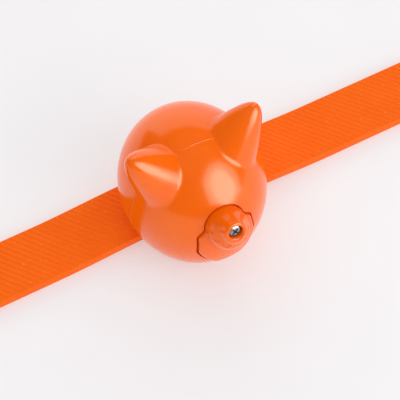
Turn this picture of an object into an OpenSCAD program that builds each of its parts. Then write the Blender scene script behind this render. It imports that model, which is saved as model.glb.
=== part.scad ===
// Hollow animal-head case carried on a flat ribbed strap with a buckle.
// The head is a two-part casing with a screwed snout cover over its battery.
// Frame: +Z up, face towards -Y, strap along X, origin on the table below the head's centre.

/* [Head] */
// Half width of the head, left to right
head_rx = 22.9; // [22.5:0.1:23.5]
// Half length of the head, front to back
head_ry = 25.0; // [24.6:0.1:25.6]
// Half height of the head before its base is cut flat
head_rz = 27.2; // [26.6:0.1:27.8]
// Height of the head's centre above the table
head_z = 19.2; // [19:0.1:19.4]
// Wall thickness of both shells
wall = 1.8; // [1.6:0.1:2.0]

/* [Ears] */
// Lean of each ear outwards from vertical, in degrees
ear_lean = 31; // [30:0.5:32]
// Radius of each ear's round tip
ear_tip_r = 1.8; // [1.6:0.1:2]
// How much each ear keeps widening below its tip
ear_spread = 0.08; // [0.06:0.01:0.1]
// Distance of each ear's tip from the middle plane
ear_x = 20.6; // [20:0.1:21]
// Height of each ear's tip above the head's centre
ear_z = 33.8; // [33:0.1:34.2]
// Place of the casing's seam, which runs through both ears
seam_y = -3.3; // [-3.6:0.1:-3]

/* [Snout] */
// Upward tilt of the snout, in degrees
snout_tilt = 22; // [21:0.5:23]
// Height of the snout's axis above the head's centre, measured at the head's centre
snout_lift = 4.3; // [4:0.1:4.6]
// Distance of the nose's front face along the snout's axis
nose_reach = 32.2; // [32:0.1:33]
// Radius of the ball-shaped muzzle
muzzle_r = 6.4; // [6.2:0.1:6.5]
// Radius of the nose's front ring
nose_r = 3.6; // [3.4:0.1:3.8]
// Radius of the screw recess in the nose
recess_r = 2.2; // [2.1:0.05:2.4]

/* [Strap] */
// Width of the strap
strap_w = 20; // [19.5:0.1:20.5]
// Thickness of the strap
strap_t = 3.5; // [3.3:0.1:3.6]
// Distance of the strap's middle line behind the head's centre
strap_y = 7.5; // [7.2:0.1:8]
// Strap length from the head's centre to the buckle pin
buckle_side = 150; // [148:1:170]
// Strap length from the head's centre to the tip
tip_side = 170; // [168:1:190]
// Number of adjustment holes
hole_count = 7; // [3:1:8]
// Distance between adjustment holes
hole_pitch = 9; // [8:0.5:9]
// Radius of each adjustment hole
hole_r = 1.6; // [1.5:0.05:1.7]

/* [Hidden] */
$fn = 48;
eps = 0.01;

// Colours
shell_orange = [0.97, 0.41, 0.05];
strap_orange = [0.96, 0.38, 0.04];
steel = [0.75, 0.76, 0.78];
brass = [0.80, 0.66, 0.32];
rubber_black = [0.12, 0.12, 0.12];
board_green = [0.08, 0.36, 0.20];

// Longer than the head on any side, for cutting blocks
reach = 60;

// Length of each ear from its tip down to its base inside the head
ear_len = 24;

// Strap heights: it is raised where the head clamps it and at the keepers
plate_t = 1.8;
strap_rise = plate_t;
saddle_z = strap_rise + strap_t;
saddle_wall = 1.7;
floor_z = saddle_z + saddle_wall;
keeper_wall = 1.2;
keeper_rise = keeper_wall + 0.1;
clamp_half = 14;
strap_front = strap_y - strap_w / 2;
rise_run = 36;
keeper_ramp_x = 74;
keeper_ramp_run = 18;

// Snout cover and its screw, measured along the snout's own axis from the head's centre
cover_t = 2.0;
muzzle_v = -3.4;
muzzle_w = 25.2;
cover_gap = 0.18;
cover_shift = [0, -0.9, -0.6];
seal_t = 0.6;
seal_w = 0.8;
ledge_t = 1.5;
ledge_margin = 1.6;
prism_start = 8;
prism_len = 40;
boss_r = 2.15;
boss_back = 14.2;
boss_front = 20.6;
screw_r = 1.0;
screw_bore_r = 1.06;
screw_head_r = 1.75;
screw_head_h = 1.4;
screw_seat = nose_reach - 2.7;
screw_len = 12;
insert_r = 1.55;
insert_len = 4.0;
insert_front = 19.4;
retainer_r = 1.45;
retainer_t = 0.5;
retainer_at = 20.9;

// Battery, below the nose screw and parallel to the snout's axis
cell_r = 5.8;
cell_len = 10.8;
cell_v = -9.0;
cell_back = 6.2;
cell_gap = 0.2;
cell_way_r = cell_r + 0.4;
holder_wall = 0.8;
holder_back = 3.4;
spring_wire_r = 0.3;
contact_t = 0.4;

// Fasteners that join the casing
case_x = 13;
case_z = -1;
case_boss_r = 3.0;
case_seat_y = 8.5;
case_screw_len = 16;
pilot_r = 0.85;
clear_r = 1.1;
small_head_r = 1.8;
small_head_h = 1.1;
boss_skin = 0.6;
base_boss_r = 2.1;
base_boss_h = 6.5;
base_holes = [[8, strap_y, 7.5], [-8, strap_y, 7.5], [6, -6, 5], [-6, -6, 5]];

// Circuit board, standing across the head just behind the seam
board_y = 3.0;
board_t = 1.0;
board_half = 15;
board_low = 8.4;
board_high = 32.2;
post_x = 11.5;
post_z = 12.2;
post_r = 1.9;
board_screw_r = 0.8;
board_pilot_r = 0.65;
board_hole_r = 0.95;
board_screw_len = 4.5;

// Buckle
pin_r = 1.0;
pin_bore_r = 1.05;
knuckle_r = 3.0;
pin_z = knuckle_r;
frame_wire_r = 1.2;
frame_len = 15;
frame_half = 12.4;
eye_half = 1.4;
roller_r = 1.9;
roller_bore_r = 1.25;
prong_w = 2.6;
first_hole_x = 100;

// Keepers
keeper_len = 7;
keeper_inner_h = 2 * strap_t + 0.9;
fixed_keeper_x = -133;
sliding_keeper_x = -118;

// Solid of the head's form, made larger or smaller all round by grow
module head_form(grow, facets) {
    translate([0, 0, head_z])
        scale([head_rx + grow, head_ry + grow, head_rz + grow])
            sphere(r = 1, $fn = facets);
}

// Moves its children from the snout's own axes (x right, y up the face, z out) to the head
module on_snout() {
    translate([0, 0, head_z + snout_lift])
        rotate([90 - snout_tilt, 0, 0])
            children();
}

// Radius of an ear at the distance s below its tip
function ear_radius(s) = sqrt(2 * ear_tip_r * s + ear_spread * s * s);

// Ear standing on its base; inset shrinks it for the hollow inside
module ear_form(inset) {
    steps = 14;
    narrower = inset * 0.67;
    lower = inset * 0.83;
    first = narrower * narrower / (2 * ear_tip_r);
    last = ear_len - lower;
    side = [for (i = [1 : steps])
        let (s = first + (last - first) * pow(i / steps, 1.7))
            [ear_radius(s) - narrower, last - s]];
    rotate_extrude($fn = 48)
        polygon(concat([[0, 0], [0, last - first]], side));
}

module ears(inset) {
    for (side = [-1, 1])
        translate([side * (ear_x - ear_len * sin(ear_lean)), seam_y,
                   head_z + ear_z - ear_len * cos(ear_lean)])
            rotate([0, side * ear_lean, 0])
                ear_form(inset);
}

// Everything behind the seam plane, or in front of it when side is -1
module half_space(side) {
    translate([-reach, side > 0 ? seam_y : seam_y - 2 * reach, -reach])
        cube(2 * reach);
}

// Everything below the height top and behind the place front_y
module block_below(front_y, top) {
    translate([-reach, front_y, -reach])
        cube([2 * reach, 2 * reach, reach + top]);
}

module shell_body() {
    difference() {
        union() {
            head_form(0, 64);
            ears(0);
        }
        difference() {
            union() {
                head_form(-wall, 48);
                ears(wall);
            }
            // Closed floor above the strap and above the base plate
            block_below(strap_front - saddle_wall, floor_z);
            block_below(-reach, plate_t + wall);
        }
        // Room for the strap and the base plate
        block_below(strap_front, saddle_z);
        block_below(-reach, plate_t);
    }
}

// Outline of the snout cover: round over the snout, shoulders, straight cheeks, narrow chin
module cover_outline() {
    arc_v = -3.0;
    arc_r = 6.1;
    half = [[8.6, -5.1], [9.3, -12.2], [8.4, -14.6], [6.4, -18], [4.2, -20.5]];
    arc = [for (turn = [2 : 11 : 178]) [arc_r * cos(turn), arc_v + arc_r * sin(turn)]];
    left = [for (p = half) [-p[0], p[1]]];
    right = [for (i = [len(half) - 1 : -1 : 0]) half[i]];
    polygon(concat(arc, left, right));
}

// Prism of the cover's outline, running out of the face
module cover_prism(grow) {
    on_snout()
        translate([0, 0, prism_start])
            linear_extrude(height = prism_len)
                offset(delta = grow)
                    cover_outline();
}

module case_boss_places() {
    for (side = [-1, 1])
        translate([side * case_x, 0, head_z + case_z])
            children();
}

module front_shell() {
    color(shell_orange)
    difference() {
        union() {
            intersection() {
                shell_body();
                half_space(-1);
            }
            // Ledge that the cover rests on, inside the opening
            intersection() {
                cover_prism(ledge_margin);
                difference() {
                    head_form(-cover_t - seal_t, 64);
                    head_form(-cover_t - seal_t - ledge_t, 48);
                }
                half_space(-1);
            }
            on_snout()
                translate([0, 0, boss_back])
                    cylinder(r = boss_r, h = boss_front - boss_back);
            intersection() {
                head_form(-boss_skin, 48);
                case_boss_places()
                    rotate([90, 0, 0])
                        translate([0, 0, -seam_y])
                            cylinder(r = case_boss_r, h = reach);
            }
            intersection() {
                head_form(-boss_skin, 48);
                for (p = [base_holes[2], base_holes[3]])
                    translate([p[0], p[1], plate_t])
                        cylinder(r = base_boss_r, h = base_boss_h);
            }
        }
        // Recess for the cover and the battery's way in
        difference() {
            cover_prism(cover_gap);
            head_form(-cover_t - seal_t, 64);
        }
        on_snout()
            translate([0, cell_v, cell_back])
                cylinder(r = cell_way_r, h = reach);
        on_snout()
            translate([0, 0, insert_front - insert_len])
                cylinder(r = insert_r, h = reach);
        case_boss_places()
            rotate([90, 0, 0])
                translate([0, 0, -seam_y - eps])
                    cylinder(r = pilot_r, h = 9);
        for (p = [base_holes[2], base_holes[3]])
            translate([p[0], p[1], plate_t - eps])
                cylinder(r = pilot_r, h = base_boss_h - 1);
    }
}

module rear_shell() {
    color(shell_orange)
    difference() {
        union() {
            intersection() {
                shell_body();
                half_space(1);
            }
            intersection() {
                head_form(-boss_skin, 48);
                case_boss_places()
                    rotate([-90, 0, 0])
                        translate([0, 0, seam_y])
                            cylinder(r = case_boss_r, h = reach);
            }
            for (p = [base_holes[0], base_holes[1]])
                translate([p[0], p[1], saddle_z])
                    cylinder(r = base_boss_r, h = base_boss_h);
            for (side = [-1, 1])
                intersection() {
                    head_form(-boss_skin, 48);
                    translate([side * post_x, board_y + board_t, post_z])
                        rotate([-90, 0, 0])
                            cylinder(r = post_r, h = reach);
                }
        }
        case_boss_places()
            rotate([-90, 0, 0]) {
                translate([0, 0, seam_y - eps])
                    cylinder(r = clear_r, h = reach);
                translate([0, 0, case_seat_y])
                    cylinder(r = small_head_r + 0.2, h = reach);
            }
        for (p = [base_holes[0], base_holes[1]])
            translate([p[0], p[1], saddle_z - eps])
                cylinder(r = pilot_r, h = base_boss_h - 1);
        for (side = [-1, 1])
            translate([side * post_x, board_y + board_t - eps, post_z])
                rotate([-90, 0, 0])
                    cylinder(r = board_pilot_r, h = board_screw_len);
    }
}

// Nose, which widens to a rounded front ring
module nose_form() {
    front_round = 0.8;
    root_r = 2.9;
    root_w = 22.5;
    rotate_extrude($fn = 64)
        polygon(concat(
            [[0, root_w], [root_r, root_w]],
            [for (turn = [0 : 22.5 : 90])
                [nose_r - front_round + front_round * cos(turn),
                 nose_reach - front_round + front_round * sin(turn)]],
            [[0, nose_reach]]
        ));
}

module snout_cover() {
    pad_r = 3.2;
    pad_h = 4.6;
    bore_start = 15;
    pocket_r = retainer_r + 0.35;
    color(shell_orange)
    difference() {
        union() {
            difference() {
                intersection() {
                    cover_prism(0);
                    translate(cover_shift)
                        head_form(0.1, 64);
                }
                head_form(-cover_t, 64);
            }
            difference() {
                on_snout()
                    nose_form();
                head_form(-cover_t + 0.02, 64);
            }
            difference() {
                on_snout()
                    translate([0, muzzle_v, muzzle_w])
                        sphere(r = muzzle_r, $fn = 64);
                head_form(-cover_t + 0.04, 64);
            }
            // Pad that presses on the battery
            on_snout()
                translate([0, cell_v, cell_back + cell_len + contact_t])
                    cylinder(r = pad_r, h = pad_h);
        }
        on_snout() {
            translate([0, 0, bore_start])
                cylinder(r = screw_bore_r, h = reach);
            translate([0, 0, screw_seat])
                cylinder(r = recess_r, h = reach);
            // Room for the retaining ring to turn
            translate([0, 0, bore_start])
                cylinder(r = pocket_r, h = retainer_at + retainer_t + 0.3 - bore_start);
        }
    }
}

module cover_seal() {
    color(rubber_black)
    difference() {
        intersection() {
            cover_prism(-0.1);
            head_form(-cover_t, 64);
        }
        head_form(-cover_t - seal_t, 64);
        cover_prism(-0.1 - seal_w);
    }
}

// Cross-head screw held captive in the nose
module nose_screw() {
    cross_w = 0.45;
    cross_l = 2.0;
    color(steel)
    on_snout()
        difference() {
            union() {
                translate([0, 0, screw_seat - screw_len])
                    cylinder(r = screw_r, h = screw_len);
                translate([0, 0, screw_seat])
                    cylinder(r = screw_head_r, h = screw_head_h);
            }
            for (turn = [45, 135])
                rotate([0, 0, turn])
                    translate([-cross_l / 2, -cross_w / 2, screw_seat + screw_head_h - 0.8])
                        cube([cross_l, cross_w, 1]);
        }
}

module ring(outer_r, inner_r, height) {
    difference() {
        cylinder(r = outer_r, h = height);
        translate([0, 0, -1])
            cylinder(r = inner_r, h = height + 2);
    }
}

module screw_retainer() {
    color(steel)
    on_snout()
        translate([0, 0, retainer_at])
            ring(retainer_r, screw_r, retainer_t);
}

module screw_insert() {
    color(brass)
    on_snout()
        translate([0, 0, insert_front - insert_len])
            ring(insert_r, screw_r + 0.05, insert_len);
}

// Plate with round corners, lying in the XY plane
module round_plate(low, high, corner_r, height) {
    translate([low[0] + corner_r, low[1], 0])
        cube([high[0] - low[0] - 2 * corner_r, high[1] - low[1], height]);
    translate([low[0], low[1] + corner_r, 0])
        cube([high[0] - low[0], high[1] - low[1] - 2 * corner_r, height]);
    for (x = [low[0] + corner_r, high[0] - corner_r], y = [low[1] + corner_r, high[1] - corner_r])
        translate([x, y, 0])
            cylinder(r = corner_r, h = height);
}

module base_plate() {
    color(shell_orange)
    difference() {
        round_plate([-11, -11], [11, 17], 5, plate_t);
        for (p = base_holes)
            translate([p[0], p[1], -eps]) {
                cylinder(r = clear_r, h = plate_t + 1);
                cylinder(r = small_head_r + 0.15, h = small_head_h + 0.1 + eps);
            }
    }
}

// Small cross-head screw, head down, with the underside of its head at z = 0
module small_screw(shank_r, shank_len, head_r, head_h) {
    difference() {
        union() {
            cylinder(r = shank_r, h = shank_len);
            translate([0, 0, -head_h])
                cylinder(r = head_r, h = head_h);
        }
        for (turn = [0, 90])
            rotate([0, 0, turn])
                translate([-head_r * 0.6, -0.2, -head_h - 1])
                    cube([head_r * 1.2, 0.4, 1 + head_h * 0.5]);
    }
}

module base_screws() {
    color(steel)
    for (p = base_holes)
        translate([p[0], p[1], small_head_h + 0.1])
            small_screw(screw_r, p[2], small_head_r, small_head_h);
}

module case_screws() {
    color(steel)
    case_boss_places()
        translate([0, case_seat_y, 0])
            rotate([90, 0, 0])
                small_screw(screw_r, case_screw_len, small_head_r, small_head_h);
}

module battery_holder() {
    color(rubber_black)
    difference() {
        intersection() {
            on_snout()
                translate([0, cell_v, holder_back])
                    cylinder(r = cell_r + cell_gap + holder_wall, h = reach);
            head_form(-cover_t - seal_t - ledge_t - 0.2, 64);
        }
        on_snout()
            translate([0, cell_v, holder_back + holder_wall])
                cylinder(r = cell_r + cell_gap, h = reach);
        on_snout()
            translate([0, 0, boss_back - 0.5])
                cylinder(r = boss_r + 0.05, h = reach);
    }
}

module battery_cell() {
    nub_h = 0.3;
    color(steel)
    on_snout()
        translate([0, cell_v, cell_back]) {
            cylinder(r = cell_r, h = cell_len - nub_h);
            cylinder(r = cell_r - 1.5, h = cell_len);
        }
}

// Coil spring swept as one closed tube; the last ring of points closes each end
module coil_spring(coil_r, wire_r, height, turns) {
    steps = 14 * turns;
    sides = 6;
    rings = [for (i = [0 : steps])
        let (turn = 360 * turns * i / steps, rise = wire_r + (height - 2 * wire_r) * i / steps)
            [for (k = [0 : sides - 1])
                let (a = 360 * k / sides, r = coil_r + wire_r * cos(a))
                    [r * cos(turn), r * sin(turn), rise + wire_r * sin(a)]]];
    points = [for (ring_points = rings) each ring_points];
    walls = [for (i = [0 : steps - 1], k = [0 : sides - 1])
        let (a = i * sides + k, b = i * sides + (k + 1) % sides)
            each [[a, a + sides, b + sides], [a, b + sides, b]]];
    near_end = [for (k = [0 : sides - 1]) k];
    far_end = [for (k = [sides - 1 : -1 : 0]) steps * sides + k];
    polyhedron(points, concat(walls, [near_end, far_end]), convexity = 8);
}

module battery_spring() {
    color(steel)
    on_snout()
        translate([0, cell_v, holder_back + holder_wall])
            coil_spring(3.6, spring_wire_r, cell_back - holder_back - holder_wall, 2.5);
}

module cover_contact() {
    color(brass)
    on_snout()
        translate([0, cell_v, cell_back + cell_len])
            cylinder(r = 3.0, h = contact_t);
}

module circuit_board() {
    color(board_green)
    difference() {
        intersection() {
            translate([-board_half, board_y, board_low])
                cube([2 * board_half, board_t, board_high - board_low]);
            head_form(-wall - 0.5, 48);
        }
        case_boss_places()
            rotate([-90, 0, 0])
                cylinder(r = case_boss_r + 0.3, h = 10);
        for (side = [-1, 1])
            translate([side * post_x, board_y - 1, post_z])
                rotate([-90, 0, 0])
                    cylinder(r = board_hole_r, h = board_t + 2);
    }
}

module board_screws() {
    color(steel)
    for (side = [-1, 1])
        translate([side * post_x, board_y, post_z])
            rotate([-90, 0, 0])
                small_screw(board_screw_r, board_screw_len, 1.5, 0.9);
}

module radio_module() {
    size = [12, 2.2, 7];
    color(steel)
    translate([-size[0] / 2, board_y + board_t, 9.6])
        cube(size);
}

module board_chips() {
    chips = [[-5.5, 26.5, 5], [1.5, 26.5, 4], [-1.6, 12, 3.2]];
    chip_t = 1;
    color(rubber_black)
    for (c = chips)
        translate([c[0], board_y - chip_t, c[1]])
            cube([c[2], chip_t, c[2]]);
}

module antenna_loop() {
    loop_r = 4.2;
    wire_r = 0.45;
    color(brass)
    translate([0, board_y - wire_r, head_z + 1.2])
        rotate([90, 0, 0])
            rotate_extrude($fn = 48)
                translate([loop_r, 0])
                    circle(r = wire_r, $fn = 16);
}

module sounder() {
    sounder_r = 6.2;
    sounder_h = 3.4;
    color(rubber_black)
    translate([0, board_y + board_t, head_z + sounder_r])
        rotate([-90, 0, 0])
            cylinder(r = sounder_r, h = sounder_h);
}

// Smooth step from 0 to 1 as t goes from 0 to 1
function ease(t) = (1 - cos(180 * max(0, min(1, t)))) / 2;

// Height of the strap's underside above the table at x
function strap_low(x) =
    let (near_head = strap_rise * (1 - ease((abs(x) - clamp_half) / rise_run)),
         near_buckle = x < 0 ? keeper_rise * ease((-x - keeper_ramp_x) / keeper_ramp_run) : 0)
    max(near_head, near_buckle);

module strap() {
    xs = concat(
        [-buckle_side],
        [for (x = [-keeper_ramp_x - keeper_ramp_run : 3 : -keeper_ramp_x]) x],
        [for (x = [-clamp_half - rise_run : 4 : -clamp_half]) x],
        [for (x = [clamp_half : 4 : clamp_half + rise_run]) x],
        [tip_side]
    );
    under = [for (x = xs) [x, strap_low(x)]];
    over = [for (i = [len(xs) - 1 : -1 : 0]) [xs[i], strap_low(xs[i]) + strap_t]];
    tip_r = 8;
    slot_w = 3.2;
    slot_back = 3.4;
    color(strap_orange)
    difference() {
        union() {
            intersection() {
                translate([0, strap_y + strap_w / 2, 0])
                    rotate([90, 0, 0])
                        linear_extrude(height = strap_w)
                            polygon(concat(under, over));
                translate([0, 0, -1])
                    round_plate([-buckle_side - 20, strap_y - strap_w / 2],
                                [tip_side, strap_y + strap_w / 2], tip_r, 20);
            }
            translate([-buckle_side, strap_y + strap_w / 2, pin_z])
                rotate([90, 0, 0])
                    cylinder(r = knuckle_r, h = strap_w);
        }
        translate([-buckle_side, strap_y + 20, pin_z])
            rotate([90, 0, 0])
                cylinder(r = pin_r, h = 40);
        // Slot for the prong's eye
        translate([-buckle_side - 6, strap_y - slot_w / 2, -1])
            cube([6 + slot_back, slot_w, 12]);
        for (i = [0 : hole_count - 1])
            translate([first_hole_x + i * hole_pitch, strap_y, -1])
                cylinder(r = hole_r, h = 12);
        for (p = [base_holes[0], base_holes[1]])
            translate([p[0], p[1], -1])
                cylinder(r = clear_r, h = 12);
    }
}

// Moves its children from the buckle pin's own axes, with the frame lying down to the table
module on_buckle(tilt) {
    translate([-buckle_side, strap_y, pin_z])
        rotate([0, -tilt, 0])
            children();
}

function frame_tilt() = asin((pin_z - roller_r) / frame_len);

module buckle_frame() {
    bend_r = 2.5;
    eye_r = 2.4;
    color(steel)
    on_buckle(frame_tilt())
        difference() {
            union() {
                for (side = [-1, 1]) {
                    translate([0, side * frame_half, 0])
                        rotate([0, -90, 0])
                            cylinder(r = frame_wire_r, h = frame_len - bend_r);
                    translate([0, side * frame_half + eye_half, 0])
                        rotate([90, 0, 0])
                            cylinder(r = eye_r, h = 2 * eye_half);
                    translate([bend_r - frame_len, side * (frame_half - bend_r), 0])
                        rotate([0, 0, side > 0 ? 90 : 180])
                            rotate_extrude(angle = 90, $fn = 48)
                                translate([bend_r, 0])
                                    circle(r = frame_wire_r, $fn = 24);
                }
                translate([-frame_len, frame_half - bend_r, 0])
                    rotate([90, 0, 0])
                        cylinder(r = frame_wire_r, h = 2 * (frame_half - bend_r));
            }
            translate([0, 20, 0])
                rotate([90, 0, 0])
                    cylinder(r = pin_bore_r, h = 40);
        }
}

module buckle_pin() {
    head_r = 1.7;
    head_h = 0.8;
    half = frame_half + eye_half + 0.1;
    color(steel)
    on_buckle(0)
        rotate([90, 0, 0]) {
            translate([0, 0, -half])
                cylinder(r = pin_r, h = 2 * half);
            for (side = [-1, 1])
                translate([0, 0, side > 0 ? half : -half - head_h])
                    cylinder(r = head_r, h = head_h);
        }
}

module buckle_prong() {
    tongue_low = 2 * roller_r + 0.12;
    tongue_t = 1.5;
    color(steel)
    difference() {
        union() {
            on_buckle(0)
                translate([0, prong_w / 2, 0])
                    rotate([90, 0, 0])
                        cylinder(r = 2.5, h = prong_w);
            translate([-buckle_side - frame_len - 1.6, strap_y - prong_w / 2, tongue_low])
                cube([frame_len + 1.6, prong_w, tongue_t]);
        }
        on_buckle(0)
            translate([0, 20, 0])
                rotate([90, 0, 0])
                    cylinder(r = pin_bore_r, h = 40);
    }
}

module buckle_roller() {
    roller_half = frame_half - 3.6;
    color(steel)
    on_buckle(frame_tilt())
        translate([-frame_len, roller_half, 0])
            rotate([90, 0, 0])
                ring(roller_r, roller_bore_r, 2 * roller_half);
}

// Square loop round the strap, with room for the strap's free end above it
module keeper(x, side_gap) {
    inner_half = strap_w / 2 + side_gap;
    inner_high = keeper_rise + keeper_inner_h + 0.5;
    translate([x - keeper_len / 2, strap_y, 0])
        difference() {
            translate([0, -inner_half - keeper_wall, 0])
                cube([keeper_len, 2 * (inner_half + keeper_wall), inner_high + keeper_wall]);
            translate([-1, -inner_half, keeper_wall])
                cube([keeper_len + 2, 2 * inner_half, inner_high - keeper_wall]);
        }
}

module fixed_keeper() {
    color(strap_orange)
    keeper(fixed_keeper_x, 0);
}

module sliding_keeper() {
    color(strap_orange)
    keeper(sliding_keeper_x, 0.15);
}

rear_shell();
front_shell();
snout_cover();
cover_seal();
nose_screw();
screw_retainer();
screw_insert();
base_plate();
base_screws();
case_screws();
battery_holder();
battery_cell();
battery_spring();
cover_contact();
circuit_board();
board_screws();
radio_module();
board_chips();
antenna_loop();
sounder();
strap();
buckle_frame();
buckle_pin();
buckle_prong();
buckle_roller();
fixed_keeper();
sliding_keeper();
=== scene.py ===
"""Looks for the animal-head case on its ribbed strap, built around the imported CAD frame.

Lengths inside the modelling functions are millimetres from the head's centre, and become metres
in the frame when a mesh is made.
"""
import math

import bmesh
import bpy
import numpy as np
from mathutils import Matrix, Vector


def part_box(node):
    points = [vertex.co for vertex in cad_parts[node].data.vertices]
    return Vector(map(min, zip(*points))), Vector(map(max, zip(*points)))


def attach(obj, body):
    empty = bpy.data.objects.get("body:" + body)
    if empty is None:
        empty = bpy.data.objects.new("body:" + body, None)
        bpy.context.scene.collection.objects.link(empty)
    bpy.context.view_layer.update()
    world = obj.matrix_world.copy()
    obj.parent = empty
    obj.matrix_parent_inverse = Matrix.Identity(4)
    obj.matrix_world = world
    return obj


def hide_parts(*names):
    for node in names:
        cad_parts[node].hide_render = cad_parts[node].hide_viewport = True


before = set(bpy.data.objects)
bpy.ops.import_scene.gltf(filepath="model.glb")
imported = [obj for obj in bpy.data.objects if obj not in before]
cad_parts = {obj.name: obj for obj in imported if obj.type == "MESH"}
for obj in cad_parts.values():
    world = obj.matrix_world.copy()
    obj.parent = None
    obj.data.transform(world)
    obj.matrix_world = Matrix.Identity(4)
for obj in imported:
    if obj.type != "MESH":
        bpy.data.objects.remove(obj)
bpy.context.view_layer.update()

# ---------------------------------------------------------------- driving sizes, as in the CAD
MM = 0.001
HEAD_RADII = np.array([22.9, 25.0, 27.2])
HEAD_Z = 19.2
WALL = 1.8
SEAM_Y = -3.3
EAR_LEAN = math.radians(31)
EAR_TIP_R = 1.8
EAR_SPREAD = 0.08
EAR_LENGTH = 24.0
EAR_TIP = np.array([20.6, SEAM_Y, 33.8])
EAR_FILLET = 0.6
SNOUT_TILT = math.radians(22)
SNOUT_ORIGIN = np.array([0.0, 0.0, 4.3])
NOSE_REACH = 32.2
NOSE_R = 3.6
NOSE_ROUND = 0.8
MUZZLE_CENTRE = np.array([0.0, -3.4, 25.2])
MUZZLE_R = 6.4
RECESS_R = 2.2
SCREW_SEAT = NOSE_REACH - 2.7
RETAINER_R = 1.75
RETAINER_TOP = 21.7
COVER_SHIFT = np.array([0.0, -0.9, -0.6])
COVER_T = 2.0
COVER_GAP = 0.6
COVER_RIM_R = 0.7
RIM_RINGS = 30
MOUTH_R = 0.2
SCREW_BORE_R = 1.06
PLATE_T = 1.8
CASE_SCREW = (13.0, -1.0)
CASE_SEAT_Y = 8.5
CASE_WELL_R = 2.0
PRISM_START = 8
PRISM_END = 45
# How deep under the skin the CAD shell's own inner parts are taken over
CORE_DEPTH = WALL * 0.6

# The snout's own axes: right, up the face, and out of the nose
SNOUT_RIGHT = np.array([1.0, 0.0, 0.0])
SNOUT_UP = np.array([0.0, math.sin(SNOUT_TILT), math.cos(SNOUT_TILT)])
SNOUT_OUT = np.array([0.0, -math.cos(SNOUT_TILT), math.sin(SNOUT_TILT)])
SNOUT_AXES = np.stack([SNOUT_RIGHT, SNOUT_UP, SNOUT_OUT])

strap_low, strap_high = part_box("strap")
STRAP_W = (strap_high.y - strap_low.y) / MM
STRAP_Y = (strap_high.y + strap_low.y) / 2 / MM
STRAP_T = 3.5


# ---------------------------------------------------------------- distance fields
def smooth_min(a, b, k):
    """The lesser of two distances, blended over about k where they are close."""
    h = np.clip(0.5 + 0.5 * (b - a) / k, 0, 1)
    return b * (1 - h) + a * h - k * h * (1 - h)


def ellipsoid_field(p, radii):
    """About the distance from points p to an ellipsoid round the head's centre."""
    k0 = np.linalg.norm(p / radii, axis=1)
    k1 = np.linalg.norm(p / radii ** 2, axis=1)
    return k0 * (k0 - 1) / np.maximum(k1, 1e-9)


def ear_field(p):
    """Distance to the nearer ear, a cone with a round tip and slightly bulging sides."""
    q = p.copy()
    q[:, 0] = np.abs(q[:, 0])
    axis = np.array([math.sin(EAR_LEAN), 0.0, math.cos(EAR_LEAN)])
    rel = q - EAR_TIP
    below = -(rel @ axis)
    out = np.linalg.norm(rel + below[:, None] * axis, axis=1)
    form = out ** 2 - 2 * EAR_TIP_R * below - EAR_SPREAD * below ** 2
    slope = np.hypot(out, EAR_TIP_R + EAR_SPREAD * np.maximum(below, 0))
    return np.maximum(form / (2 * slope), below - EAR_LENGTH)


def head_field(p):
    """Distance to the head's skin, ears and all."""
    return smooth_min(ellipsoid_field(p, HEAD_RADII), ear_field(p), EAR_FILLET)


def from_snout(p):
    """Points in the snout's axes (right, up, out), from its own origin."""
    return (p - SNOUT_ORIGIN) @ SNOUT_AXES.T


def nose_field(q):
    """Distance to the nose, which widens to a rounded front ring, in the snout's axes."""
    r = np.hypot(q[:, 0], q[:, 1])
    half = np.interp(q[:, 2], [22.5, 28.0, NOSE_REACH], [2.95, 3.4, NOSE_R])
    dr = r - (half - NOSE_ROUND)
    dw = q[:, 2] - (NOSE_REACH - NOSE_ROUND)
    outside = np.hypot(np.maximum(dr, 0), np.maximum(dw, 0))
    return outside + np.minimum(np.maximum(dr, dw), 0) - NOSE_ROUND


def cover_skin_field(p):
    """Distance to the cover's plain skin, which lies a little proud of the head's at the top."""
    return ellipsoid_field(p - COVER_SHIFT, HEAD_RADII + 0.1)


def cover_back_field(p):
    """Distance to the skin that the cover's hollow back is drawn parallel to."""
    return ellipsoid_field(p, HEAD_RADII)


def cover_field(p):
    """Distance to the cover's skin with the muzzle's ball and the nose blended into it."""
    q = from_snout(p)
    muzzle = np.linalg.norm(q - MUZZLE_CENTRE, axis=1) - MUZZLE_R
    return smooth_min(cover_skin_field(p), smooth_min(nose_field(q), muzzle, 2.0), 0.8)


def march(start, directions, field, level, near, far):
    """The outermost point along each ray where the field passes through level."""
    lo = np.full(len(directions), float(near))
    hi = np.full(len(directions), float(far))
    for _ in range(34):
        mid = (lo + hi) / 2
        inside = field(start + directions * mid[:, None]) < level
        lo = np.where(inside, mid, lo)
        hi = np.where(inside, hi, mid)
    return start + directions * ((lo + hi) / 2)[:, None]


# ---------------------------------------------------------------- mesh helpers
def make_mesh(name, points_mm, faces, centred=True):
    """A mesh object from millimetre points, measured from the head's centre if centred."""
    points = np.asarray(points_mm, dtype=float) * MM
    if centred:
        points = points + np.array([0.0, 0.0, HEAD_Z * MM])
    mesh = bpy.data.meshes.new(name)
    mesh.from_pydata(points.tolist(), [], [list(f) for f in faces])
    mesh.validate()
    piece = bpy.data.objects.new(name, mesh)
    bpy.context.scene.collection.objects.link(piece)
    return piece


def grid_faces(rows, columns, flip=False, first=0):
    """Quads between rings that close on themselves, the first point numbered first."""
    faces = []
    for i in range(rows - 1):
        for j in range(columns):
            k = (j + 1) % columns
            quad = [first + i * columns + j, first + i * columns + k,
                    first + (i + 1) * columns + k, first + (i + 1) * columns + j]
            faces.append(quad[::-1] if flip else quad)
    return faces


def stacked_solid(name, rings, flip=False, centred=True):
    """A closed solid through rings of points, with a flat cap at each end."""
    points = np.concatenate(rings)
    count = len(rings[0])
    caps = [list(range(count))[::-1], list(range(len(points) - count, len(points)))]
    faces = grid_faces(len(rings), count, flip)
    faces += [cap[::-1] for cap in caps] if flip else caps
    return make_mesh(name, points, faces, centred)


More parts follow.
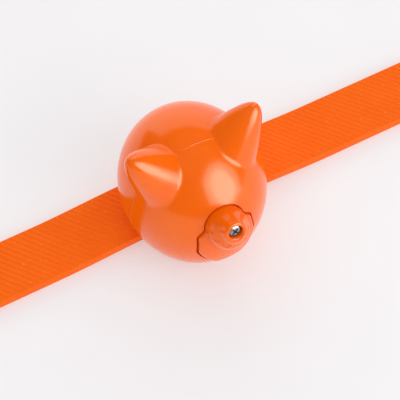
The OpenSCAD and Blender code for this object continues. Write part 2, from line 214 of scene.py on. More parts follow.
def domed_solid(name, pole, rings, far_pole, flip=False):
    """A closed solid through rings of points, with a point at each end."""
    points = np.concatenate([pole] + rings + [far_pole])
    columns = len(rings[0])
    last = len(points) - 1
    faces = grid_faces(len(rings), columns, flip, 1)
    for j in range(columns):
        k = (j + 1) % columns
        fans = [[0, 1 + k, 1 + j], [last, last - columns + j, last - columns + k]]
        faces += [fan[::-1] for fan in fans] if flip else fans
    return make_mesh(name, points, faces)


def circle(sides):
    """Unit (across, along) points evenly round a circle."""
    turns = np.radians(np.arange(sides) * 360 / sides)
    return np.column_stack([np.cos(turns), np.sin(turns)])


def boolean(target, cutter, operation):
    """Joins, cuts or trims target by cutter, applies the result and drops the cutter."""
    step = target.modifiers.new("boolean", "BOOLEAN")
    step.operation = operation
    step.object = cutter
    step.solver = "MANIFOLD"
    graph = bpy.context.evaluated_depsgraph_get()
    result = bpy.data.meshes.new_from_object(target.evaluated_get(graph))
    target.modifiers.clear()
    old = target.data
    target.data = result
    bpy.data.meshes.remove(old)
    bpy.data.objects.remove(cutter)
    return target


def copy_node(name, new_name):
    """A loose copy of a CAD node's mesh, its shared corners welded."""
    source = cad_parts[name]
    mesh = source.data.copy()
    mesh.transform(source.matrix_world)
    work = bmesh.new()
    work.from_mesh(mesh)
    bmesh.ops.remove_doubles(work, verts=work.verts, dist=1e-6)
    work.to_mesh(mesh)
    work.free()
    mesh.materials.clear()
    piece = bpy.data.objects.new(new_name, mesh)
    bpy.context.scene.collection.objects.link(piece)
    return piece


def smooth_by_angle(piece, degrees=32):
    """Shades a piece smooth, with its corners sharper than the angle left crisp."""
    mesh = piece.data
    work = bmesh.new()
    work.from_mesh(mesh)
    bmesh.ops.dissolve_degenerate(work, edges=work.edges, dist=1e-7)
    limit = math.radians(degrees)
    for edge in work.edges:
        edge.smooth = len(edge.link_faces) == 2 and edge.calc_face_angle(0) < limit
    for face in work.faces:
        face.smooth = True
    work.to_mesh(mesh)
    work.free()


# ---------------------------------------------------------------- head shells
SEAM_ROUND = 0.09
EAR_SPAN = 9  # degrees to each side of an ear's tip where the rays stand closer together
LIMIT = 40  # past the head on every side, for blocks that cut all the way


def half_directions():
    """Ray angles over half the head, closer together round the ear tips and the seam."""
    ear_at = math.degrees(math.atan2(EAR_TIP[2], EAR_TIP[0]))
    turns = [np.arange(centre - EAR_SPAN, centre + EAR_SPAN, 0.4) for centre in (ear_at, 180 - ear_at)]
    turns.append(np.arange(ear_at + EAR_SPAN, 180 - ear_at - EAR_SPAN, 0.9))
    turns.append(np.arange(180 - ear_at + EAR_SPAN, 360 + ear_at - EAR_SPAN, 1.0))
    turns = np.radians(np.unique(np.concatenate(turns) % 360))
    tilts = np.radians(np.concatenate([np.arange(1, 60, 1.1), np.arange(60, 80, 0.8),
                                       np.arange(80, 89.7, 0.4), [90]]))
    return turns, tilts


def half_skin(side, level, seam_round):
    """Rings of points over half the head, from the pole out to the seam plane."""
    turns, tilts = half_directions()
    start = np.array([0.0, SEAM_Y, 0.0])
    rings = []
    for tilt in tilts:
        directions = np.stack([np.sin(tilt) * np.cos(turns), np.full(len(turns), side * np.cos(tilt)),
                               np.sin(tilt) * np.sin(turns)], axis=1)
        rings.append(march(start, directions, head_field, level, 2, 60))
    if seam_round > 0:
        # The seam's edge is drawn in a little, with a row of points where the rounding starts
        brim = rings[-1].copy()
        brim[:, 1] += side * seam_round
        inward = start - rings[-1]
        inward /= np.linalg.norm(inward, axis=1)[:, None]
        rings[-1] = rings[-1] + inward * seam_round
        rings.insert(-1, brim)
    pole = march(start, np.array([[0.0, side, 0.0]]), head_field, level, 2, 60)
    return pole, rings


def half_solid(name, side):
    """One moulded shell: outer skin, even wall, flat rim in the seam plane."""
    outer_pole, outer = half_skin(side, 0.0, SEAM_ROUND)
    inner_pole, inner = half_skin(side, -WALL, 0)
    return domed_solid(name, outer_pole, outer + inner[::-1], inner_pole, side < 0)


def box_solid(name, low, high):
    """A box from its low and high corners, in millimetres from the head's centre."""
    corners = [[(low, high)[i & 1][0], (low, high)[i >> 1 & 1][1], (low, high)[i >> 2 & 1][2]]
               for i in range(8)]
    faces = [[0, 2, 3, 1], [4, 5, 7, 6], [0, 1, 5, 4], [2, 6, 7, 3], [0, 4, 6, 2], [1, 3, 7, 5]]
    return make_mesh(name, corners, faces)


def snout_to_head(points):
    """Points in the snout's axes (right, up, out) turned into the head's axes."""
    return np.asarray(points, dtype=float) @ SNOUT_AXES + SNOUT_ORIGIN


def lathe_solid(name, profile, sides=96):
    """A solid turned about the snout's axis from (radius, out) pairs, from bottom to top."""
    rings = [snout_to_head(np.column_stack([r * circle(sides), np.full(sides, w)])) for r, w in profile]
    return stacked_solid(name, rings)


def cover_outline(grow=0.0, step=0.35):
    """The cover's outline in the face's plane: round over the snout, shoulders, cheeks, chin.

    Points run anticlockwise, about step apart, and the corners have small radii.
    """
    arc_v, arc_r = -3.0, 6.1
    arc = [(arc_r * math.cos(math.radians(t)), arc_v + arc_r * math.sin(math.radians(t)))
           for t in range(2, 179, 4)]
    side = [(8.6, -5.1), (9.3, -12.2), (8.4, -14.6), (6.4, -18.0), (4.2, -20.5)]
    corners = arc + [(-x, y) for x, y in side] + side[::-1]
    points = np.array(corners)
    nxt = np.roll(points, -1, axis=0)
    dense = []
    for a, b in zip(points, nxt):
        count = max(1, int(round(np.linalg.norm(b - a) / step)))
        dense += [a + (b - a) * i / count for i in range(count)]
    dense = np.array(dense)
    for _ in range(2):
        dense = (np.roll(dense, 1, axis=0) + dense * 2 + np.roll(dense, -1, axis=0)) / 4
    if grow:
        tangent = np.roll(dense, -1, axis=0) - np.roll(dense, 1, axis=0)
        tangent /= np.linalg.norm(tangent, axis=1)[:, None]
        dense = dense + np.stack([tangent[:, 1], -tangent[:, 0]], axis=1) * grow
    return dense


def cover_prism(name, grow, start, end):
    """The cover's outline, grown all round, as a straight block along the snout's axis."""
    outline = cover_outline(grow)
    rings = [snout_to_head(np.column_stack([outline, np.full(len(outline), w)])) for w in (start, end)]
    return stacked_solid(name, rings)


def ellipsoid_solid(name, inset):
    """The head's ellipsoid, smaller all round by inset."""
    radii = HEAD_RADII - inset
    turns = np.radians(np.arange(0, 360, 4))
    rings = []
    for tilt in np.radians(np.arange(4, 180, 4)):
        rings.append(np.stack([np.sin(tilt) * np.cos(turns), np.sin(tilt) * np.sin(turns),
                               np.full(len(turns), np.cos(tilt))], axis=1) * radii)
    top = np.array([[0, 0, radii[2]]])
    return domed_solid(name, top, rings, -top, True)


def inner_features(node, inset):
    """What the CAD node holds deeper than inset under the head's skin: ledge, bosses, posts."""
    return boolean(copy_node(node, node + "_core"), ellipsoid_solid("limit", inset), "INTERSECT")


def cut_base(shell):
    """Cuts the shell flat above the base plate, and clears the strap's channel."""
    plate_top = PLATE_T - HEAD_Z
    saddle = plate_top + STRAP_T
    boolean(shell, box_solid("cut", (-LIMIT, -LIMIT, -LIMIT), (LIMIT, LIMIT, plate_top)), "DIFFERENCE")
    channel = box_solid("cut", (-LIMIT, STRAP_Y - STRAP_W / 2, -LIMIT), (LIMIT, LIMIT, saddle))
    return boolean(shell, channel, "DIFFERENCE")


def front_shell():
    """The face's half, with the opening for the snout cover and the CAD's ledge and bosses."""
    shell = half_solid("casing_front", -1)
    boolean(shell, cover_prism("cut", COVER_GAP, PRISM_START, PRISM_END), "DIFFERENCE")
    cut_base(shell)
    return boolean(shell, inner_features("front_shell", CORE_DEPTH), "UNION")


def screw_well(side):
    """The straight well down to a case screw's seat, open at the back."""
    x, z = side * CASE_SCREW[0], CASE_SCREW[1]
    ring = CASE_WELL_R * circle(48) + (x, z)
    return stacked_solid("cut", [np.insert(ring, 1, y, axis=1) for y in (CASE_SEAT_Y, LIMIT)], True)


def rear_shell():
    """The back's half, with its two screw wells and the CAD's posts."""
    shell = half_solid("casing_rear", 1)
    for side in (-1, 1):
        boolean(shell, screw_well(side), "DIFFERENCE")
    cut_base(shell)
    return boolean(shell, inner_features("rear_shell", CORE_DEPTH), "UNION")


# ---------------------------------------------------------------- snout cover
def outline_distance(points, outline):
    """Distance from each point to the closed outline, both in the face's plane."""
    a = outline
    b = np.roll(outline, -1, axis=0)
    edge = b - a
    best = np.full(len(points), 1e9)
    for start, run in zip(a, edge):
        t = np.clip(((points - start) @ run) / (run @ run), 0, 1)
        best = np.minimum(best, np.linalg.norm(points - start - t[:, None] * run, axis=1))
    return best


def cover_skin_point(flat, field, level=0.0):
    """Points on a skin straight above or below flat (right, up) points of the face's plane."""
    start = snout_to_head(np.column_stack([flat, np.full(len(flat), 5.0)]))
    directions = np.tile(SNOUT_OUT, (len(flat), 1))
    return march(start, directions, field, level, 0, 40)


def muzzle_skin_point(flat):
    """Points on the muzzle's front at (right, up) places of the face's plane."""
    start = snout_to_head(np.column_stack([flat, np.full(len(flat), MUZZLE_CENTRE[2] + 0.1)]))
    return march(start, np.tile(SNOUT_OUT, (len(flat), 1)), cover_field, 0.0, 0, 12)


def cover_shelled():
    """The cover as a closed shell: skin with its snout, rounded rim, walls and hollow back."""
    outline = cover_outline()
    eye = snout_to_head([[0.0, -5.0, 10.0]])[0]

    def rings_to(rim, field, level, shares):
        towards = rim - eye
        towards /= np.linalg.norm(towards, axis=1)[:, None]
        full = np.arccos(np.clip(towards @ SNOUT_OUT, -1, 1))
        sideways = towards - SNOUT_OUT * np.cos(full)[:, None]
        sideways /= np.linalg.norm(sideways, axis=1)[:, None]
        rings = []
        for share in shares:
            angle = (full * share)[:, None]
            rings.append(march(eye, SNOUT_OUT * np.cos(angle) + sideways * np.sin(angle),
                               field, level, 1, 40))
        return rings

    top_rim = cover_skin_point(outline, cover_skin_field)
    shares = np.concatenate([np.linspace(0.02, 0.95, 100), np.linspace(0.955, 1.0, 12)])
    outer = rings_to(top_rim, cover_field, 0.0, shares)
    for i in range(len(outer) - RIM_RINGS, len(outer)):
        flat = from_snout(outer[i])
        inside = np.clip(outline_distance(flat[:, :2], outline), 0, COVER_RIM_R)
        drop = COVER_RIM_R - np.sqrt(np.maximum(COVER_RIM_R ** 2 - (COVER_RIM_R - inside) ** 2, 0))
        outer[i] = outer[i] - SNOUT_OUT * drop[:, None]
    low_rim = cover_skin_point(outline, cover_back_field, -COVER_T)
    inner = rings_to(low_rim, cover_back_field, -COVER_T, np.linspace(1.0, 0.04, 24))
    pole = march(eye, SNOUT_OUT[None], cover_field, 0.0, 1, 40)
    back_pole = march(eye, SNOUT_OUT[None], cover_back_field, -COVER_T, 1, 40)
    return domed_solid("snout_cover_piece", pole, outer + inner, back_pole, True)


def tube_solid(name, path, radius, sides=10):
    """A closed tube along a path of points in the head's axes."""
    tangent = np.gradient(path, axis=0)
    tangent /= np.linalg.norm(tangent, axis=1)[:, None]
    side = np.cross(tangent, SNOUT_OUT)
    side /= np.linalg.norm(side, axis=1)[:, None]
    up = np.cross(side, tangent)
    rings = [path[i] + radius * circle(sides) @ np.stack([side[i], up[i]]) for i in range(len(path))]
    return stacked_solid(name, rings, True)


def rounded_path(corners, count):
    """A smooth curve near the corners, by Catmull-Rom between them."""
    pts = np.array(corners, dtype=float)
    pts = np.concatenate([[2 * pts[0] - pts[1]], pts, [2 * pts[-1] - pts[-2]]])
    out = []
    for i in range(1, len(pts) - 2):
        for t in np.linspace(0, 1, count, endpoint=False):
            p0, p1, p2, p3 = pts[i - 1:i + 3]
            out.append(0.5 * (2 * p1 + (p2 - p0) * t + (2 * p0 - 5 * p1 + 4 * p2 - p3) * t ** 2
                              + (3 * p1 - p0 - 3 * p2 + p3) * t ** 3))
    out.append(pts[-2])
    return np.array(out)


def snout_cover():
    """The cover with its screw bore, the nose's recess, and a fine groove for mouth and tongue."""
    cover = cover_shelled()
    boolean(cover, inner_features("snout_cover", COVER_T - 0.1), "UNION")
    recess = [(RETAINER_R, 14), (RETAINER_R, RETAINER_TOP), (SCREW_BORE_R, RETAINER_TOP),
              (SCREW_BORE_R, SCREW_SEAT), (RECESS_R, SCREW_SEAT),
              (RECESS_R, NOSE_REACH - 0.45), (RECESS_R + 0.05, NOSE_REACH - 0.22),
              (RECESS_R + 0.18, NOSE_REACH - 0.07), (RECESS_R + 0.42, NOSE_REACH + 0.01),
              (RECESS_R + 0.42, NOSE_REACH + 3)]
    boolean(cover, lathe_solid("cut", recess), "DIFFERENCE")
    lip = [(-5.2, -0.4), (-6.0, -1.8), (-5.95, -2.9), (-5.5, -3.1), (-4.75, -2.65), (-4.45, -3.2),
           (-4.3, -3.85)]
    tongue = [(-4.3, -3.85), (-4.0, -4.9), (-3.55, -5.5), (-3.0, -5.35), (-2.5, -4.65), (-2.0, -4.5)]
    for line in (lip, tongue):
        for corners in (line, [(-x, y) for x, y in line]):
            path = muzzle_skin_point(rounded_path(corners, 8))
            boolean(cover, tube_solid("cut", path, MOUTH_R), "DIFFERENCE")
    return cover


def nose_screw():
    """A pan-head screw with a cross recess, seated in the nose."""
    head_r, head_h, shank_r, shank_len = 1.92, 2.0, 1.0, 12.0
    top = SCREW_SEAT + head_h
    crown = 0.45
    rises = [math.radians(t) for t in (0, 18, 36, 54, 70, 82)]
    dome = [(head_r * math.cos(t) ** 0.6, top - crown + crown * math.sin(t)) for t in rises]
    profile = [(shank_r - 0.15, SCREW_SEAT - shank_len), (shank_r, SCREW_SEAT - shank_len + 0.2)]
    profile += [(shank_r, SCREW_SEAT - 0.01), (head_r - 0.1, SCREW_SEAT), (head_r, SCREW_SEAT + 0.1)]
    profile += dome + [(0.05, top)]
    screw = lathe_solid("nose_screw_piece", profile, 64)
    for turn in (35, 125):
        t = math.radians(turn)
        along = np.array([math.cos(t), math.sin(t)])
        across = np.array([-math.sin(t), math.cos(t)])
        corners = []
        for w, half_l, half_w in ((top - 1.1, 0.55, 0.14), (top + 0.2, 1.40, 0.30)):
            for a, b in ((-1, -1), (1, -1), (1, 1), (-1, 1)):
                flat = along * half_l * a + across * half_w * b
                corners.append([flat[0], flat[1], w])
        faces = [[3, 2, 1, 0], [4, 5, 6, 7], [0, 1, 5, 4], [1, 2, 6, 5], [2, 3, 7, 6], [3, 0, 4, 7]]
        boolean(screw, make_mesh("cut", snout_to_head(corners), faces), "DIFFERENCE")
    return screw


# ---------------------------------------------------------------- strap
RIB_PITCH = 2.15
RIB_SLANT = 0.81
RIB_H = 0.15
RIB_HALF = 0.36
RIB_FADE = 0.35
STRAP_EDGE_R = 0.45
STRAP_BORDER = 0.5
CLAMP_HALF = 14
KEEPER_RISE = 1.3
STRAP_START = strap_low.x / MM
STRAP_END = strap_high.x / MM
BUCKLE_PIN_X = STRAP_START + 3.0
TIP_R = 8.0
HOLE_R = 1.6
FIRST_HOLE_X = 100.0
HOLE_PITCH = 9.0
HOLE_COUNT = 7
PRONG_SLOT_W = 3.2
PRONG_SLOT_REACH = 3.4
KNUCKLE_REACH = 6
RISE_RUN = 36
KEEPER_RAMP = (74, 18)


def ease(t):
    """A smooth rise from 0 to 1 while t goes from 0 to 1."""
    return (1 - np.cos(np.pi * np.clip(t, 0, 1))) / 2


def strap_underside(x):
    """The height of the strap's underside, which rises over the base plate and to the buckle."""
    near_head = PLATE_T * (1 - ease((np.abs(x) - CLAMP_HALF) / RISE_RUN))
    near_buckle = np.where(x < 0, KEEPER_RISE * ease((-x - KEEPER_RAMP[0]) / KEEPER_RAMP[1]), 0)
    return np.maximum(near_head, near_buckle)


def strap_section():
    """The strap's cross-section as (across, height, ribbed) points, anticlockwise."""
    half, r = STRAP_W / 2, STRAP_EDGE_R
    section = []

    def corner(cy, cz, first):
        for t in np.linspace(first, first + 90, 5):
            section.append((cy + r * math.cos(math.radians(t)), cz + r * math.sin(math.radians(t)), 0))

    corner(half - r, STRAP_T - r, 0)
    ribbed = half - STRAP_BORDER
    section.append((ribbed, STRAP_T, 0.0))
    for y in np.linspace(ribbed - RIB_FADE, -ribbed + RIB_FADE, 7):
        section.append((y, STRAP_T, 1.0))
    section.append((-ribbed, STRAP_T, 0.0))
    corner(-half + r, STRAP_T - r, 90)
    corner(-half + r, r, 180)
    for y in np.linspace(-half + r, half - r, 5)[1:-1]:
        section.append((y, 0.0, 0))
    corner(half - r, r, 270)
    return np.array(section)


def tall_block(name, outline):
    """A plan outline as an upright block that passes right through the strap."""
    rings = [np.column_stack([outline, np.full(len(outline), z)]) for z in (-5.0, 15.0)]
    return stacked_solid(name, rings, centred=False)


def round_end_prism(name):
    """The strap's plan outline, with its tip rounded, as a tall block a little wider than it."""
    half = STRAP_W / 2
    low_y, high_y = STRAP_Y - half - 1, STRAP_Y + half + 1
    tip_x = STRAP_END - TIP_R
    outline = [(BUCKLE_PIN_X, high_y), (BUCKLE_PIN_X, low_y), (tip_x - 2, low_y)]
    for t in range(-90, 91, 6):
        side = 1 if t > 0 else -1
        outline.append((tip_x + TIP_R * math.cos(math.radians(t)),
                        STRAP_Y + side * (half - TIP_R) + TIP_R * math.sin(math.radians(t))))
    outline.append((tip_x - 2, high_y))
    return tall_block(name, np.array(outline))


def buckle_end_block(reach, width):
    """A block over the strap's buckle end, as far as reach past the pin."""
    return box_solid("cut", (STRAP_START - 5, STRAP_Y - width / 2, -60),
                     (BUCKLE_PIN_X + reach, STRAP_Y + width / 2, 40))


def strap():
    """The ribbed strap; its end round the buckle's pin is the CAD's own."""
    section = strap_section()
    reach = STRAP_W / 2 * RIB_SLANT + 3
    first = math.floor((STRAP_START - reach) / RIB_PITCH) * RIB_PITCH
    ridge = [(RIB_HALF * along, height)
             for along, height in ((-1, 0.0), (-0.5, 0.62), (0, 1.0), (0.5, 0.62), (1, 0.0))]
    stations = []
    at = first
    while at < STRAP_END + reach:
        stations += [(at + dx, h) for dx, h in ridge]
        at += RIB_PITCH
    rings = []
    for x0, h in stations:
        x = x0 - RIB_SLANT * section[:, 0]
        z = section[:, 1] + section[:, 2] * h * RIB_H + strap_underside(x)
        rings.append(np.column_stack([x, STRAP_Y + section[:, 0], z]))
    body = stacked_solid("strap_ribbed", rings, centred=False)
    boolean(body, round_end_prism("cut"), "INTERSECT")
    knuckle = copy_node("strap", "knuckle")
    boolean(knuckle, buckle_end_block(KNUCKLE_REACH, STRAP_W + 20), "INTERSECT")
    boolean(body, knuckle, "UNION")
    boolean(body, buckle_end_block(PRONG_SLOT_REACH, PRONG_SLOT_W), "DIFFERENCE")
    for i in range(HOLE_COUNT):
        hole = HOLE_R * circle(40) + (FIRST_HOLE_X + i * HOLE_PITCH, STRAP_Y)
        boolean(body, tall_block("cut", hole), "DIFFERENCE")
    return body


# ---------------------------------------------------------------- small pieces from the CAD
def softened(node, width, segments=2, degrees=40):
    """A CAD node's own shape with its hard edges rounded off by width millimetres."""
    piece = copy_node(node, node + "_soft")
    work = bmesh.new()
    work.from_mesh(piece.data)
    bmesh.ops.dissolve_limit(work, angle_limit=math.radians(0.5), verts=work.verts, edges=work.edges)
    edges = [e for e in work.edges if e.is_manifold and e.calc_face_angle(0) > math.radians(degrees)]
    bmesh.ops.bevel(work, geom=edges, offset=width * MM, offset_type="OFFSET", segments=segments,
                    profile=0.5, affect="EDGES", clamp_overlap=True)
    work.to_mesh(piece.data)
    work.free()
    return piece


# ---------------------------------------------------------------- materials
class Shader:
    """A material with one principled shader, built up node by node."""

    def __init__(self, name, **constants):
        self.material = bpy.data.materials.new(name)
        self.material.use_nodes = True
        self.tree = self.material.node_tree
        self.main = self.tree.nodes["Principled BSDF"]
        for key, value in constants.items():
            self.main.inputs[key.replace("_", " ")].default_value = value
        self.place = self.add("ShaderNodeTexCoord").outputs["Object"]

    def add(self, kind, **settings):
        node = self.tree.nodes.new(kind)
        for key, value in settings.items():
            setattr(node, key, value)
        return node

    def link(self, source, target):
        self.tree.links.new(source, target)

    def noise(self, scale, detail=3.0, roughness=0.5, stretch=None):
        node = self.add("ShaderNodeTexNoise")
        node.inputs["Scale"].default_value = scale
        node.inputs["Detail"].default_value = detail
        node.inputs["Roughness"].default_value = roughness
        place = self.place
        if stretch:
            mapping = self.add("ShaderNodeMapping")
            mapping.inputs["Scale"].default_value = stretch
            self.link(place, mapping.inputs["Vector"])
            place = mapping.outputs["Vector"]
        self.link(place, node.inputs["Vector"])
        return node.outputs["Fac"]

    def spread(self, source, low, high, out_low, out_high):
        node = self.add("ShaderNodeMapRange")
        ends = {"From Min": low, "From Max": high, "To Min": out_low, "To Max": out_high}
        for key, value in ends.items():
            node.inputs[key].default_value = value
        self.link(source, node.inputs["Value"])
        return node.outputs["Result"]

    def blend(self, source, colour_a, colour_b):
        node = self.add("ShaderNodeMix", data_type="RGBA")
        self.link(source, node.inputs["Factor"])
        for socket, colour in ((node.inputs[6], colour_a), (node.inputs[7], colour_b)):
            if isinstance(colour, tuple):
                socket.default_value = (*colour, 1.0)
            else:
                self.link(colour, socket)
        return node.outputs[2]

    def cloudy(self, scale, detail, colour_a, colour_b):
        """A colour that wanders softly between two near ones."""
        return self.blend(self.spread(self.noise(scale, detail), 0.3, 0.7, 0, 1), colour_a, colour_b)

    def bump(self, height, strength, distance_mm, after=None):
        node = self.add("ShaderNodeBump")
        node.inputs["Strength"].default_value = strength
        node.inputs["Distance"].default_value = distance_mm * MM
        self.link(height, node.inputs["Height"])
        if after is not None:
            self.link(after, node.inputs["Normal"])
        return node.outputs["Normal"]

    def finish(self, colour=None, roughness=None, normal=None):
        for key, source in (("Base Color", colour), ("Roughness", roughness), ("Normal", normal)):
            if source is not None:
                self.link(source, self.main.inputs[key])
        return self.material


def shell_plastic():
    """Satin orange plastic: clouds of near colour, with a faint moulded grain."""
    s = Shader("shell_plastic", Specular_IOR_Level=0.5, IOR=1.5, Specular_Tint=(1.0, 0.94, 0.76, 1.0))
    colour = s.cloudy(120, 3, (0.965, 0.134, 0.0006), (0.985, 0.148, 0.0010))
    rough = s.spread(s.noise(300, 3), 0.3, 0.7, 0.170, 0.190)
    normal = s.bump(s.noise(5200, 2), 0.10, 0.002)
    normal = s.bump(s.noise(220, 2), 0.05, 0.02, normal)
    return s.finish(colour, rough, normal)


def strap_rubber():
    """Matt orange rubber with sparse pale specks."""
    s = Shader("strap_rubber", Specular_IOR_Level=0.11, IOR=1.5)
    colour = s.cloudy(90, 3, (0.955, 0.132, 0.0006), (0.980, 0.148, 0.0010))
    pale_specks = s.spread(s.noise(1500, 2, 0.6), 0.705, 0.755, 0, 1)
    colour = s.blend(pale_specks, colour, (1.0, 0.42, 0.16))
    rough = s.spread(s.noise(1400, 3), 0.3, 0.7, 0.50, 0.64)
    normal = s.bump(s.noise(4200, 3), 0.35, 0.012)
    return s.finish(colour, rough, normal)


def metal(name, colour_a, colour_b, rough_low, rough_high, stretch=(1, 1, 1)):
    """Metal whose gloss varies in streaks, drawn out along the axis with the least stretch."""
    s = Shader(name, Metallic=1.0)
    colour = s.cloudy(400, 4, colour_a, colour_b)
    streaks = s.noise(1500, 4, 0.6, stretch)
    rough = s.spread(streaks, 0.25, 0.75, rough_low, rough_high)
    return s.finish(colour, rough, s.bump(streaks, 0.12, 0.01))


def plain_plastic(name, colour_a, colour_b, rough_low, rough_high):
    """Plastic or rubber of one colour with a fine grain."""
    s = Shader(name, Specular_IOR_Level=0.5)
    colour = s.cloudy(300, 3, colour_a, colour_b)
    rough = s.spread(s.noise(1800, 3), 0.3, 0.7, rough_low, rough_high)
    return s.finish(colour, rough, s.bump(s.noise(4500, 2), 0.3, 0.01))


def board_lacquer():
    """Green lacquer with copper tracks showing through as slightly paler lines."""
    s = Shader("board_lacquer", Specular_IOR_Level=0.5)
    tracks = s.add("ShaderNodeTexBrick")
    tracks.inputs["Scale"].default_value = 260
    tracks.inputs["Mortar Size"].default_value = 0.06
    s.link(s.place, tracks.inputs["Vector"])
    base = s.cloudy(500, 3, (0.012, 0.085, 0.035), (0.018, 0.115, 0.05))
    colour = s.blend(tracks.outputs["Fac"], base, (0.05, 0.21, 0.09))
    rough = s.spread(s.noise(900, 3), 0.3, 0.7, 0.25, 0.38)
    return s.finish(colour, rough, s.bump(tracks.outputs["Fac"], 0.4, 0.02))


def floor_paper():
    """White paper that glows a little, which keeps the shadows pale as on a lit studio table."""
    s = Shader("floor_paper", Specular_IOR_Level=0.2, Emission_Color=(1.0, 0.985, 1.0, 1.0),
               Emission_Strength=0.36)
    colour = s.cloudy(30, 4, (0.550, 0.548, 0.552), (0.565, 0.563, 0.567))
    rough = s.spread(s.noise(60, 3), 0.3, 0.7, 0.75, 0.85)
    return s.finish(colour, rough)


SHELL = shell_plastic()
STRAP = strap_rubber()
STEEL = metal("screw_steel", (0.26, 0.26, 0.27), (0.38, 0.38, 0.39), 0.16, 0.30, (1, 1, 6))
BUCKLE = metal("buckle_steel", (0.60, 0.60, 0.62), (0.70, 0.70, 0.72), 0.22, 0.40, (1, 8, 1))
CELL = metal("cell_can", (0.64, 0.65, 0.66), (0.72, 0.73, 0.74), 0.18, 0.32)
BRASS = metal("brass", (0.70, 0.50, 0.18), (0.80, 0.60, 0.26), 0.2, 0.4)
# The seal's red is painted shade. It stands in for the dark red, bounce-lit shade inside the gap round
# the snout cover. The seal's own colour is not known.
SEAL_RED_GAP_SHADE = plain_plastic("seal_rubber_red_gap_shade", (0.72, 0.036, 0.002), (0.82, 0.046, 0.003), 0.6, 0.8)
BLACK = plain_plastic("black_plastic", (0.018, 0.018, 0.020), (0.030, 0.030, 0.032), 0.38, 0.55)
BOARD = board_lacquer()
FLOOR = floor_paper()

NODE_LOOKS = {
    "cover_seal": SEAL_RED_GAP_SHADE, "screw_retainer": STEEL, "screw_insert": BRASS, "base_screws": STEEL,
    "case_screws": STEEL, "battery_holder": BLACK, "battery_cell": CELL, "battery_spring": STEEL,
    "cover_contact": BRASS, "circuit_board": BOARD, "board_screws": STEEL, "antenna_loop": BRASS,
    "sounder": BLACK, "buckle_frame": BUCKLE, "buckle_pin": BUCKLE, "buckle_roller": BUCKLE,
}


def set_material(piece, material):
    """Gives the whole piece one material."""
    piece.data.materials.clear()
    piece.data.materials.append(material)
    for polygon in piece.data.polygons:
        polygon.material_index = 0


def add_piece(piece, node, body, material, degrees=32):
    """Puts a finished piece in place of a CAD node, on its body, with its look."""
    smooth_by_angle(piece, degrees)
    set_material(piece, material)
    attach(piece, body)
    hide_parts(node)


# ---------------------------------------------------------------- camera, light and floor
VIEW_AZIMUTH = math.radians(-23.495)
VIEW_ELEVATION = math.radians(60.0)
VIEW_ROLL = math.radians(-3.78)
VIEW_DISTANCE = 0.38887
VIEW_WIDTH = 0.12491
# Moves the view right and down so the head stands left of and above the picture's centre
VIEW_SHIFT = (0.0201, -0.04455)


def add_camera():
    """Looks at the head from in front, above and its right, with a slight roll."""
    a, e, roll = VIEW_AZIMUTH, VIEW_ELEVATION, VIEW_ROLL
    right = Vector((math.cos(a), math.sin(a), 0))
    up = Vector((-math.sin(a) * math.sin(e), math.cos(a) * math.sin(e), math.cos(e)))
    back = Vector((math.sin(a) * math.cos(e), -math.cos(a) * math.cos(e), math.sin(e)))
    rolled_right = right * math.cos(roll) + up * math.sin(roll)
    rolled_up = up * math.cos(roll) - right * math.sin(roll)
    data = bpy.data.cameras.new("camera")
    camera = bpy.data.objects.new("camera", data)
    bpy.context.scene.collection.objects.link(camera)
    bpy.context.scene.camera = camera
    data.sensor_width = 36
    data.lens = 36 * VIEW_DISTANCE / VIEW_WIDTH
    data.shift_x, data.shift_y = VIEW_SHIFT
    data.clip_start, data.clip_end = 0.01, 20
    camera.location = Vector((0, 0, HEAD_Z * MM)) + back * VIEW_DISTANCE
    camera.rotation_mode = "QUATERNION"
    turned = Matrix((rolled_right, rolled_up, back)).transposed()
    camera.rotation_quaternion = turned.to_quaternion()


def area_light(name, turn, rise, distance, size, radiance, matt=True):
    """A softbox facing the head, turn degrees right of the face and rise degrees up.

    One that is not matt is round, only shows as a reflection, and lights nothing.
    """
    data = bpy.data.lights.new(name, "AREA")
    data.shape = "RECTANGLE" if matt else "ELLIPSE"
    data.size, data.size_y = size
    area = size[0] * size[1] * (1 if matt else math.pi / 4)
    data.energy = radiance * math.pi * area
    light = bpy.data.objects.new(name, data)
    light.visible_diffuse = matt
    t, r = math.radians(turn), math.radians(rise)
    towards = Vector((math.sin(t) * math.cos(r), -math.cos(t) * math.cos(r), math.sin(r)))
    light.location = Vector((0, 0, 0.02)) + towards * distance
    light.rotation_mode = "QUATERNION"
    light.rotation_quaternion = towards.to_track_quat("Z", "Y")
    bpy.context.scene.collection.objects.link(light)


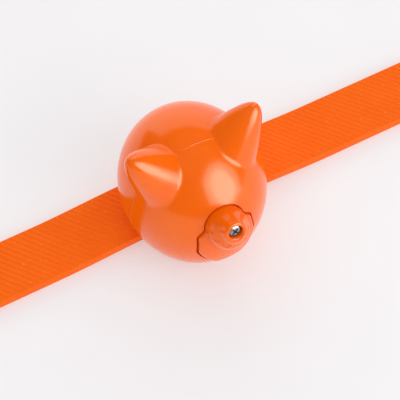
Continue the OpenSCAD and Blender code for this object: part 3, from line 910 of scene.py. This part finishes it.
def add_floor():
    half = 2.0
    mesh = bpy.data.meshes.new("floor")
    mesh.from_pydata([(-half, -half, 0), (half, -half, 0), (half, half, 0), (-half, half, 0)], [],
                     [(0, 1, 2, 3)])
    floor = bpy.data.objects.new("floor", mesh)
    bpy.context.scene.collection.objects.link(floor)
    set_material(floor, FLOOR)


def add_lights():
    """A soft key light with a rounder sheen, a pale wall behind, and even fill from the room."""
    scene = bpy.context.scene
    scene.view_settings.view_transform = "Standard"
    world = bpy.data.worlds.new("studio")
    world.use_nodes = True
    world.node_tree.nodes["Background"].inputs["Color"].default_value = (1.0, 0.99, 1.0, 1)
    world.node_tree.nodes["Background"].inputs["Strength"].default_value = 0.73
    scene.world = world
    world.cycles_visibility.glossy = False
    area_light("key_softbox", 27, 28, 0.75, (0.66, 0.70), 1.3)
    area_light("key_sheen", 30, 25, 0.74, (0.52, 0.66), 3.6, matt=False)
    area_light("sheen_edge", 30, 25, 0.73, (0.88, 1.00), 3.3, matt=False)
    area_light("rear_wall", 160, 20, 1.5, (2.3, 1.1), 1.15)
    area_light("ceiling", 0, 90, 1.2, (1.6, 1.6), 0.12)


# ---------------------------------------------------------------- build
add_camera()
add_floor()
add_lights()

add_piece(front_shell(), "front_shell", "casing", SHELL, 25)
add_piece(rear_shell(), "rear_shell", "casing", SHELL, 25)
add_piece(snout_cover(), "snout_cover", "cover", SHELL, 28)
add_piece(nose_screw(), "nose_screw", "nose_screw", STEEL, 35)
add_piece(strap(), "strap", "casing", STRAP, 34)
add_piece(softened("base_plate", 0.35), "base_plate", "casing", SHELL, 35)
add_piece(softened("fixed_keeper", 0.45, 3), "fixed_keeper", "casing", STRAP, 35)
add_piece(softened("sliding_keeper", 0.45, 3), "sliding_keeper", "sliding_keeper", STRAP, 35)
add_piece(softened("buckle_prong", 0.4, 3), "buckle_prong", "buckle_prong", BUCKLE, 35)
add_piece(softened("radio_module", 0.3), "radio_module", "casing", CELL, 35)
add_piece(softened("board_chips", 0.15), "board_chips", "casing", BLACK, 35)
for node_name, look in NODE_LOOKS.items():
    set_material(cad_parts[node_name], look)
